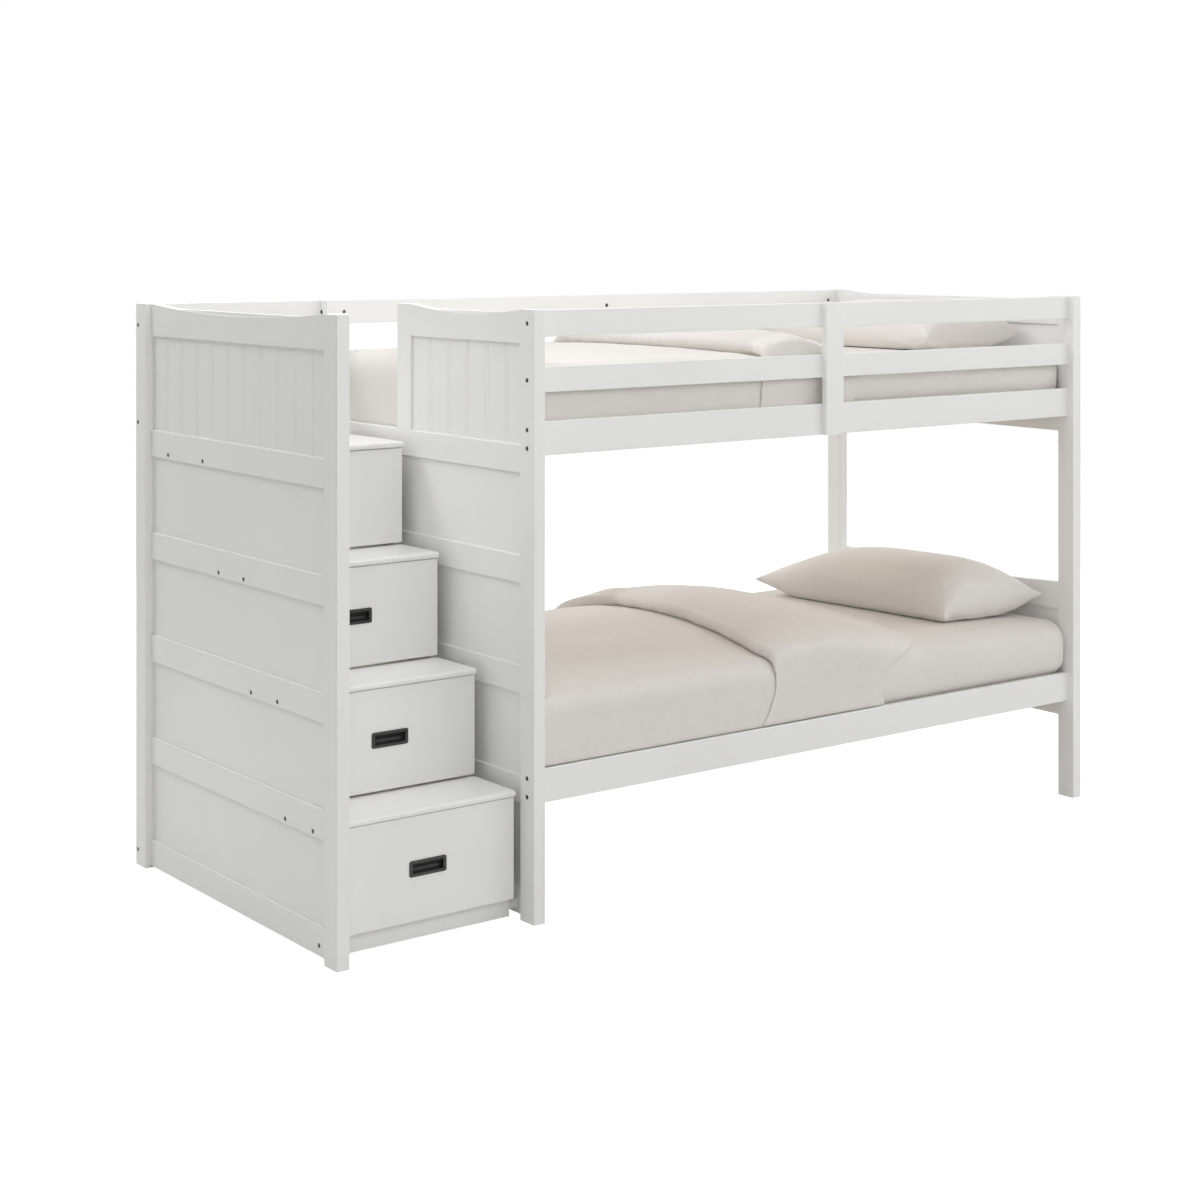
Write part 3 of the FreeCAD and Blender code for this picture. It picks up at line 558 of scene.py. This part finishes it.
def smooth_table(table, places):
    """A smooth curve through given pairs."""
    known = np.array(table)
    slopes = np.gradient(known[:, 1], known[:, 0])
    index = np.clip(np.searchsorted(known[:, 0], places) - 1, 0, len(known) - 2)
    span = known[index + 1, 0] - known[index, 0]
    t = np.clip((places - known[index, 0]) / span, 0, 1)
    start = known[index, 1] * (1 + 2 * t) * (1 - t) ** 2 + slopes[index] * span * t * (1 - t) ** 2
    end = known[index + 1, 1] * t ** 2 * (3 - 2 * t) + slopes[index + 1] * span * t ** 2 * (t - 1)
    return start + end


def ease(value, start=0.0, span=1.0):
    """A smooth rise from 0 at the start to 1 at the end of the span."""
    t = np.clip((value - start) / span, 0, 1)
    return t * t * (3 - 2 * t)


def hump(value, middle, width):
    """1 in the middle, falling off smoothly over a width."""
    return np.exp(-((value - middle) / width) ** 2)


def held_within(values, limit, margin):
    """Values that flatten off softly before a limit on both sides of zero."""
    over = np.maximum(np.abs(values) - limit + margin, 0)
    return np.sign(values) * (np.minimum(np.abs(values), limit - margin) + margin * np.tanh(over / margin))


def waves_at(rates, seed, *places):
    """Smooth noise from -1 to 1, with a rate of waves for each of up to three coordinates."""
    scaled = np.broadcast_arrays(*[place * rate for place, rate in zip(places, rates)])
    still = np.zeros(scaled[0].size)
    columns = [part.ravel() for part in scaled] + [still] * (3 - len(scaled))
    values = [noise.noise(Vector((a + seed, b - seed, c))) for a, b, c in zip(*columns)]
    return np.array(values).reshape(scaled[0].shape)


# Meshes from points

def shade_smooth(mesh):
    for polygon in mesh.polygons:
        polygon.use_smooth = True


def mesh_object(name, points, faces, material):
    mesh = bpy.data.meshes.new(name)
    mesh.from_pydata([tuple(point) for point in points], [], faces)
    mesh.materials.append(material)
    mesh.validate()
    shade_smooth(mesh)
    piece = bpy.data.objects.new(name, mesh)
    bpy.context.scene.collection.objects.link(piece)
    return piece


def weld(piece):
    """Join points that lie together, and turn all faces outwards."""
    work = bmesh.new()
    work.from_mesh(piece.data)
    bmesh.ops.remove_doubles(work, verts=work.verts, dist=WELD_DISTANCE)
    bmesh.ops.recalc_face_normals(work, faces=work.faces)
    work.to_mesh(piece.data)
    work.free()
    shade_smooth(piece.data)


def tube_faces(rows, columns):
    """Quads over a grid of points that joins round on itself from its last row to its first."""
    faces = []
    for row in range(rows):
        below = (row + 1) % rows
        for column in range(columns - 1):
            faces.append((row * columns + column, row * columns + column + 1,
                          below * columns + column + 1, below * columns + column))
    return faces


def places_of(mesh):
    values = np.zeros(len(mesh.vertices) * 3, np.float32)
    mesh.vertices.foreach_get("co", values)
    return values.reshape(-1, 3).astype(float)


def move_to(piece, places):
    piece.data.vertices.foreach_set("co", np.asarray(places, np.float32).ravel())
    piece.data.update()


def settle(piece, pressure, frames, cap, pinned=(), stretch=0.0, stiffness=15.0, bending=0.5):
    """Let a closed cloth swell under its filling, with no point moving further than the cap."""
    start = places_of(piece.data)
    cloth = piece.modifiers.new("cloth", "CLOTH")
    cloth.settings.quality = CLOTH_QUALITY
    cloth.settings.mass = CLOTH_MASS
    cloth.settings.tension_stiffness = stiffness
    cloth.settings.compression_stiffness = stiffness
    cloth.settings.shear_stiffness = stiffness * SHEAR_SHARE
    cloth.settings.bending_stiffness = bending
    cloth.settings.use_pressure = True
    cloth.settings.uniform_pressure_force = pressure
    cloth.settings.shrink_min = -stretch
    cloth.settings.effector_weights.gravity = 0
    cloth.collision_settings.use_collision = False
    cloth.point_cache.frame_start = 1
    cloth.point_cache.frame_end = frames
    if len(pinned):
        group = piece.vertex_groups.new(name="held")
        group.add([int(index) for index in pinned], 1.0, "REPLACE")
        cloth.settings.vertex_group_mass = "held"
    scene = bpy.context.scene
    for number in range(1, frames + 1):
        scene.frame_set(number)
    settled = places_of(piece.evaluated_get(bpy.context.evaluated_depsgraph_get()).data)
    piece.modifiers.remove(cloth)
    piece.vertex_groups.clear()
    scene.frame_set(1)
    moved = settled - start
    far = np.linalg.norm(moved, axis=1, keepdims=True)
    move_to(piece, start + moved * (cap / np.maximum(far, cap)))


def subdivide(piece):
    modifier = piece.modifiers.new("smooth", "SUBSURF")
    modifier.levels = SMOOTHING_LEVELS
    modifier.render_levels = SMOOTHING_LEVELS


def rail_corner(bunk):
    """The inner top corner of a bunk's front side rail."""
    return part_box("front_" + bunk + "_side_rail")[1]


# Mattresses

def box_surface(counts):
    """Grid indices of the points on a box's surface, and the quads between them."""
    last = [count - 1 for count in counts]
    keys = {}
    faces = []
    for axis, first, second in ((0, 1, 2), (1, 2, 0), (2, 0, 1)):
        for side in (0, last[axis]):
            for i in range(last[first]):
                for j in range(last[second]):
                    ring = []
                    for di, dj in ((0, 0), (1, 0), (1, 1), (0, 1)):
                        place = [0, 0, 0]
                        place[axis] = side
                        place[first] = i + di
                        place[second] = j + dj
                        ring.append(keys.setdefault(tuple(place), len(keys)))
                    faces.append(tuple(ring if side else reversed(ring)))
    return np.array(list(keys)), faces


def stations(low, high):
    """Places along a mattress's side, closer together at both rounded ends."""
    start = low + MATTRESS_EDGE
    end = high - MATTRESS_EDGE
    middle = max(2, round((end - start) / MATTRESS_PITCH))
    return np.concatenate([np.linspace(low, start, EDGE_STEPS, endpoint=False),
                           np.linspace(start, end, middle, endpoint=False),
                           np.linspace(end, high, EDGE_STEPS + 1)])


def mattress(bunk, seed, material):
    """A sprung mattress in a fitted sheet, with soft edges and long sides that swell over the side rails."""
    low, high = (np.array(corner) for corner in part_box(bunk + "_mattress"))
    rail = rail_corner(bunk)
    half = -(rail.y + MATTRESS_ROOM)
    length = high[0] - low[0]
    bottom = np.array([low[0], -half, low[2]])
    top = np.array([high[0] + MATTRESS_HEAD_REACH, half, high[2]])
    foot_round = np.array([MATTRESS_EDGE, MATTRESS_EDGE, MATTRESS_EDGE])
    head_round = np.array([MATTRESS_HEAD_EDGE, MATTRESS_EDGE, MATTRESS_EDGE])
    sides = [stations(bottom[axis], top[axis]) for axis in range(3)]
    index, faces = box_surface([len(side) for side in sides])
    points = np.stack([sides[axis][index[:, axis]] for axis in range(3)], axis=1)
    core = np.clip(points, bottom + foot_round, top - head_round)
    reach = np.where(points > core, head_round, foot_round)
    out = (points - core) / reach
    x, y, z = (core + reach * out / np.linalg.norm(out, axis=1, keepdims=True)).T

    over_rail = ease(z - rail.z, *OVER_RAIL_RISE)
    belly = np.sin(math.pi * np.clip((z - rail.z) / (high[2] - rail.z), 0, 1)) ** BELLY_POWER
    puffed = over_rail * belly * ease((x - low[0]) / length, *SWELL_LENGTH_RISE) * SHEET_SWELL[bunk]
    y = y * (half + (high[1] - half) * over_rail + puffed) / half
    across = np.abs(y) / high[1]
    along = np.abs(x - (low[0] + high[0]) / 2) / (length / 2)
    on_top = ease(z - high[2], *TOP_FACE_RISE)
    z = z + on_top * MATTRESS_CROWN * (1 - across ** 3) * (1 - along ** 6)

    corner = ease(across, *CORNER_ACROSS_RISE) * ease(along, *CORNER_ALONG_RISE)
    tugs = waves_at(TUG_WAVES, seed, x, y, z)
    soft = waves_at(SOFT_WAVES, seed + 5, x, y, z)
    pull = SHEET_PULL + (TUG_DEPTH * tugs * corner + SOFT_DEPTH * soft)
    inward = np.stack([np.zeros_like(x), -np.sign(y) * ease(across, *SIDE_FACE_RISE), -on_top], axis=1)
    points = np.stack([x, y, z], axis=1) + inward * pull[:, None]
    piece = mesh_object(bunk + "_fitted_mattress", points, faces, material)
    settle(piece, pressure=1.0, frames=8, cap=0.0015)
    subdivide(piece)
    return piece


# Duvets

def drape_line(bunk):
    """Even points and outward directions over a mattress, from a quilt's front hem to its back hem."""
    low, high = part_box(bunk + "_mattress")
    hem = rail_corner(bunk).z + HEM_GAP[bunk]
    radius = MATTRESS_EDGE
    shoulder = high.z - radius
    flat = -low.y - radius
    half = []
    for t in np.linspace(0, 1, SIDE_POINTS, endpoint=False):
        half.append((low.y, hem + (shoulder - hem) * t))
    for angle in np.linspace(math.pi, math.pi / 2, SHOULDER_POINTS):
        half.append((low.y + radius + radius * math.cos(angle), shoulder + radius * math.sin(angle)))
    for t in np.linspace(1, 0, HALF_TOP_POINTS)[1:]:
        half.append((-flat * t, high.z + MATTRESS_CROWN * (1 - t ** 3)))
    front = np.array(half)
    back = front[-2::-1] * (-1, 1)
    line = np.concatenate([front, back])
    length = np.concatenate([[0], np.cumsum(np.linalg.norm(np.diff(line, axis=0), axis=1))])
    run = np.linspace(0, length[-1], QUILT_COLUMNS)
    y = np.interp(run, length, line[:, 0])
    z = np.interp(run, length, line[:, 1])
    dy = np.gradient(y)
    dz = np.gradient(z)
    size = np.hypot(dy, dz)
    return run, y, z, -dz / size, dy / size


class Width:
    """What a quilt does at each place over a bunk's width, from its front hem to its back hem."""

    def __init__(self, bunk, seed):
        low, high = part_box(bunk + "_mattress")
        length = high.x - low.x
        self.run, self.y, self.z, self.out_y, self.out_z = drape_line(bunk)
        end = self.run[-1]
        share = self.run / end
        domed = 1 - EDGE_THINNING * (1 - ease(-low.y - np.abs(self.y), span=EDGE_THINNING_REACH))
        self.on_top = ease(self.out_z, *UPWARD_RISE) * domed
        self.falls = ease(self.out_z, *FALLING_RISE)
        self.hem = ease(np.minimum(self.run, end - self.run) / HEM_ROLL + HEM_ROLL_SHARE)
        self.pucker = waves_at(PUCKER_WAVES, seed, self.run)
        self.stitches = waves_at(STITCH_WAVES, seed + 3, self.run)
        uneven = PUCKER_DEPTH * self.pucker + EDGE_DEPTH * waves_at(EDGE_WAVES, seed + 2, self.run)
        self.free = low.x + length * smooth_table(FREE_EDGE[bunk], share) + uneven
        self.fold = low.x + length * smooth_table(FOLD[bunk], share)
        self.base = BASE_SIDE + (BASE_TOP - BASE_SIDE) * self.on_top
        self.under = self.base * UNDER_FLAP_SHARE
        self.foot = low.x
        self.bend = MATTRESS_EDGE * self.falls
        self.turn = low.x + self.bend
        self.drop = (self.z - self.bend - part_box(bunk + "_duvet")[0].z) * self.falls
        self.full = FLAP_FULL[bunk]

    def flap(self, t):
        """Height of the flap's top, a share of the way from its free edge to the fold."""
        places = np.array([t])
        above = smooth_table(FLAP_TOP, places)[0] * self.full
        beside = smooth_table(FLAP_SIDE, places)[0]
        return beside + (above - beside) * self.on_top


class Loop:
    """Rows of points round a quilt's section along the bed, each row running over the bed's width."""

    def __init__(self):
        self.x = []
        self.height = []
        self.puff = []
        self.hang = []
        self.held = []

    def add(self, x, height, puff=1.0, hang=0.0, held=False):
        """A row's X, height off the mattress, share of the filling's unevenness, share of the way down
        the foot end, and whether it stays put when the filling swells."""
        self.x.append(np.broadcast_to(x, QUILT_COLUMNS))
        self.height.append(np.broadcast_to(height, QUILT_COLUMNS))
        self.puff.append(puff)
        self.hang.append(hang)
        self.held.append(held)


def quilt_rows(width):
    """Up the foot end, over the bunk, round the free edge, along the flap, round the fold and back below."""
    foot, turn, bend, drop = width.foot, width.turn, width.bend, width.drop
    fold, base, under = width.fold, width.base, width.under
    quarter = math.pi / 2
    roll = (width.flap(0) - under) / 2
    centre = width.free + roll
    tip = width.flap(1)
    inner = bend + SHEET_GAP
    rows = Loop()
    for q in np.linspace(1, 0, HANG_ROWS)[:-1]:
        rows.add(foot - FOOT_THICK, -bend - drop * q, puff=FOOT_PUFF, hang=q)
    for angle in np.linspace(quarter, 0, BEND_ROWS):
        outer = bend + FOOT_THICK + (base - FOOT_THICK) * ease(1 - angle / quarter)
        rows.add(turn - outer * math.sin(angle), -bend + outer * math.cos(angle))
    for t in np.linspace(0, 1, TOP_ROWS)[1:]:
        sunk = ease(t, *SINKING_RISE)
        rows.add(turn + (centre - turn) * t, base + (under - base) * sunk, held=t > HELD_FROM_SHARE)
    for angle in np.linspace(-quarter, -3 * quarter, ROLL_ROWS)[1:]:
        drawn_in = SEAM_DEPTH * hump(angle, *SEAM_PLACE) * (1 + SEAM_PUCKER * width.pucker)
        stitched = STITCH_DEPTH * hump(angle, *STITCH_PLACE) * np.abs(width.stitches)
        radius = roll * (1 - drawn_in - stitched)
        rows.add(centre + radius * math.cos(angle), under + roll + radius * math.sin(angle),
                 held=angle > HELD_FROM_ANGLE)
    for t in np.linspace(0, 1, FLAP_ROWS)[1:]:
        rows.add(centre + (fold - tip - centre) * t, width.flap(t))
    for angle in np.linspace(quarter, 0, FOLD_ROWS)[1:]:
        rows.add(fold - tip + tip * math.cos(angle), tip * math.sin(angle), puff=math.sin(angle))
    for t in np.linspace(1, 0, UNDER_ROWS)[1:]:
        rows.add(turn + (fold - turn) * t, SHEET_GAP, puff=0.0, held=True)
    for angle in np.linspace(0, quarter, INNER_BEND_ROWS)[1:]:
        rows.add(turn - inner * math.sin(angle), -bend + inner * math.cos(angle), puff=0.0, held=True)
    for q in np.linspace(0, 1, INNER_HANG_ROWS)[1:]:
        rows.add(foot - SHEET_GAP, -bend - drop * q, puff=0.0, hang=q, held=True)
    return rows


def quilt_bumps(width, x, height, bunk, seed):
    """Soft waves on top, ridges on the flap, tucks down the sides and creases by the fold."""
    run = width.run
    from_fold = x - width.fold
    wide = waves_at(WIDE_WAVES, seed, x, run)
    ridge = waves_at(RIDGE_WAVES, seed + 7, from_fold, run)
    fine = waves_at(FINE_WAVES, seed + 13, x, run)
    tucks = waves_at(TUCK_WAVES, seed + 21, x, run)
    gathers = waves_at(GATHER_WAVES, seed + 27, x, run)
    near_fold = ease(from_fold, *CREASE_START_RISE) * ease(-from_fold, *CREASE_END_RISE)
    creases = waves_at(CREASE_WAVES, seed + 41, x, run) * near_fold
    on_flap = ease(x - width.free, *ON_FLAP_RISE) * ease(height - width.under, *FLAP_LIFT_RISE)
    above = WIDE_DEPTH * wide + FINE_DEPTH * fine + RIDGE_DEPTH * ridge * on_flap
    beside = TUCK_DEPTH * tucks + GATHER_DEPTH[bunk] * gathers + SIDE_FINE_DEPTH * fine
    return width.on_top * above + (1 - width.on_top) * beside + CREASE_DEPTH * creases


def duvet(bunk, seed, material):
    """A quilt over the foot of a bunk, hanging at the foot end, with its top end folded back on itself."""
    width = Width(bunk, seed)
    rows = quilt_rows(width)
    x = np.array(rows.x)
    height = np.array(rows.height)
    puff = np.array(rows.puff)[:, None]
    hang = np.array(rows.hang)[:, None]
    sinking = np.minimum(height, 0)
    lying = np.maximum(height, 0)
    filled = np.clip(lying / width.base, 0, PUFF_LIMIT) * (hang == 0)
    lying = lying + puff * quilt_bumps(width, x, height, bunk, seed) * filled
    lying = np.maximum(lying, SHEET_GAP * (height >= SHEET_GAP))
    lying = lying * np.where(height > SHEET_GAP, width.hem, 1)

    foot_half = -(rail_corner(bunk).y + MATTRESS_ROOM) - FOOT_INSET
    spread = foot_half / width.y[width.falls > 0.5].max()
    flare = 1 + (spread - 1) * ease(-sinking, span=FLARE_DROP) * width.falls
    pleats = waves_at(PLEAT_WAVES, seed + 31, width.y, width.z + PLEAT_SLANT * height)
    x = x - (PLEAT_DEPTH * pleats + PLEAT_LIFT) * puff * ease(-sinking, span=PLEAT_DROP)
    y = (width.y + width.out_y * lying) * flare
    z = width.z + width.out_z * lying + sinking
    points = np.stack([x, y, z], axis=-1).reshape(-1, 3)
    piece = mesh_object(bunk + "_quilt", points, tube_faces(len(rows.x), QUILT_COLUMNS), material)

    at_hem = np.isin(np.arange(QUILT_COLUMNS), (0, QUILT_COLUMNS - 1))
    pinned = np.flatnonzero(np.array(rows.held)[:, None] | at_hem)
    settle(piece, pressure=2.0, frames=10, cap=0.006, pinned=pinned, stretch=0.012,
           stiffness=12.0, bending=0.2)
    places = places_of(piece.data)
    places[:, 1] = held_within(places[:, 1], DUVET_REACH[bunk], REACH_MARGIN)
    move_to(piece, places)
    weld(piece)
    subdivide(piece)
    return piece


# Pillows

def cushion_grid(rows, columns):
    """Two sheets sewn together round their edges: each point's row and column from -1 to 1, its side
    (1 above, -1 below, 0 in the seam), and the faces."""
    keys = {}
    faces = []
    for row in range(rows):
        for column in range(columns):
            ring = ((row, column), (row + 1, column), (row + 1, column + 1), (row, column + 1))
            for side in (1, -1):
                corners = []
                for r, c in ring[::side]:
                    in_seam = r in (0, rows) or c in (0, columns)
                    corners.append(keys.setdefault((r, c, 0 if in_seam else side), len(keys)))
                faces.append(tuple(corners))
    row, column, side = np.array(list(keys), float).T
    return row / rows * 2 - 1, column / columns * 2 - 1, side, faces


def closer_at_ends(t):
    return (np.sin(t * math.pi / 2) + t) / 2


def pillow(bunk, seed, material):
    """A stuffed pillow with a knife-edge seam and pointed corners, its front corner tucked in."""
    low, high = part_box(bunk + "_pillow")
    size = high - low
    base = low.z + MATTRESS_CROWN + SHEET_GAP
    u, v, side, faces = cushion_grid(PILLOW_ROWS, PILLOW_COLUMNS)
    u = closer_at_ends(u)
    v = closer_at_ends(v)
    ear = np.abs(u * v) ** EAR_POWER
    front_end = np.maximum(1 - v ** PILLOW_FRONT_POWER, 0) ** PILLOW_FULL
    back_end = np.maximum(1 - np.abs(v) ** PILLOW_BACK_POWER, 0) ** PILLOW_TAPER
    full = np.maximum(1 - u ** 2, 0) ** PILLOW_FULL * np.where(v < 0, front_end, back_end)
    full = full * (1 - EAR_FLATNESS * ear)
    tucked = ((1 - u) / 2 * (1 - v) / 2) ** TUCK_POWER * PILLOW_TUCK[bunk]
    side_line = 1 - PILLOW_DRAWN_IN * (1 - v ** 2) + PILLOW_EAR * ear
    end_line = 1 + PILLOW_END_SHARE * (PILLOW_EAR * ear - PILLOW_DRAWN_IN * (1 - u ** 2))
    along = u * side_line * (1 - TUCK_ALONG * tucked) * size.x
    across = v * end_line * (1 - TUCK_ACROSS * tucked) * size.y
    seam = PILLOW_SEAM * (1 - tucked * PILLOW_DROOP)
    z = np.where(side < 0, seam - seam * np.minimum(1, full * PILLOW_UNDERSIDE), seam + (1 - seam) * full)
    z = z * (1 - PILLOW_SAG[bunk] * ((1 - u) / 2 * (1 + v) / 2) ** SAG_POWER)

    turn = PILLOW_TURN[bunk]
    x = along * math.cos(turn) - across * math.sin(turn)
    y = along * math.sin(turn) + across * math.cos(turn)
    front = low.y + PILLOW_INSET[bunk]
    tip = ((1 + u) / 2 * (1 - v) / 2) ** TIP_POWER
    x = (low.x + high.x) / 2 + x / np.abs(x).max() * size.x / 2 + PILLOW_TIP[bunk][0] * tip
    y = (front + high.y) / 2 + y / np.abs(y).max() * (high.y - front) / 2 + PILLOW_TIP[bunk][1] * tip
    z = base + z * (high.z - base)

    corner = hump(np.abs(u), 1, CORNER_WIDTH[0]) * hump(np.abs(v), 1, CORNER_WIDTH[1])
    spoke = np.arctan2(SPOKE_CENTRE - np.abs(v), SPOKE_CENTRE - np.abs(u))
    spokes = waves_at(SPOKE_RATES, seed, spoke, np.sign(u), np.sign(v))
    broad = waves_at(BROAD_WAVES, seed + 4, x, y)
    gathers = waves_at(SEAM_GATHER_WAVES, seed + 9, x, y)
    by_seam = np.exp(-(1 - np.maximum(np.abs(u), np.abs(v))) / SEAM_GATHER_REACH)
    rumple = full * (SPOKE_DEPTH * spokes * corner + BROAD_DEPTH * broad)
    rumple = rumple + SEAM_GATHER_DEPTH * gathers * by_seam
    z = z + np.where(side > 0, rumple, 0)
    piece = mesh_object(bunk + "_pillow_case", np.stack([x, y, z], axis=1), faces, material)
    settle(piece, pressure=2.0, frames=12, cap=0.007, stretch=0.02, stiffness=12.0, bending=0.15)
    places = places_of(piece.data)
    places[:, 2] = np.maximum(places[:, 2], base)
    move_to(piece, places)
    subdivide(piece)
    return piece


add_camera()
add_world()
add_floor()
add_lamps()
bpy.context.scene.view_settings.view_transform = "Standard"

finish_wood_and_metal()
duvet_cloth = cotton("duvet_cotton", COTTON_DARK, COTTON_LIGHT)
sheet_cloth = cotton("sheet_cotton", COTTON_DARK, COTTON_LIGHT)
# The pillow cotton's lighter colour is painted light, for light that the upper bunk keeps off the lower
# pillow
lit_pillow_cloth = cotton("pillow_cotton_painted_light", PILLOW_LIT_DARK, PILLOW_LIT_LIGHT)

for bunk, seed in SEEDS.items():
    quilt = duvet(bunk, seed, duvet_cloth)
    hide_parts(bunk + "_duvet")
    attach(quilt, "frame")
    slab = mattress(bunk, seed + MATTRESS_SEED_STEP, sheet_cloth)
    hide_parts(bunk + "_mattress")
    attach(slab, "frame")
    cushion = pillow(bunk, seed, lit_pillow_cloth)
    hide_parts(bunk + "_pillow")
    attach(cushion, "frame")
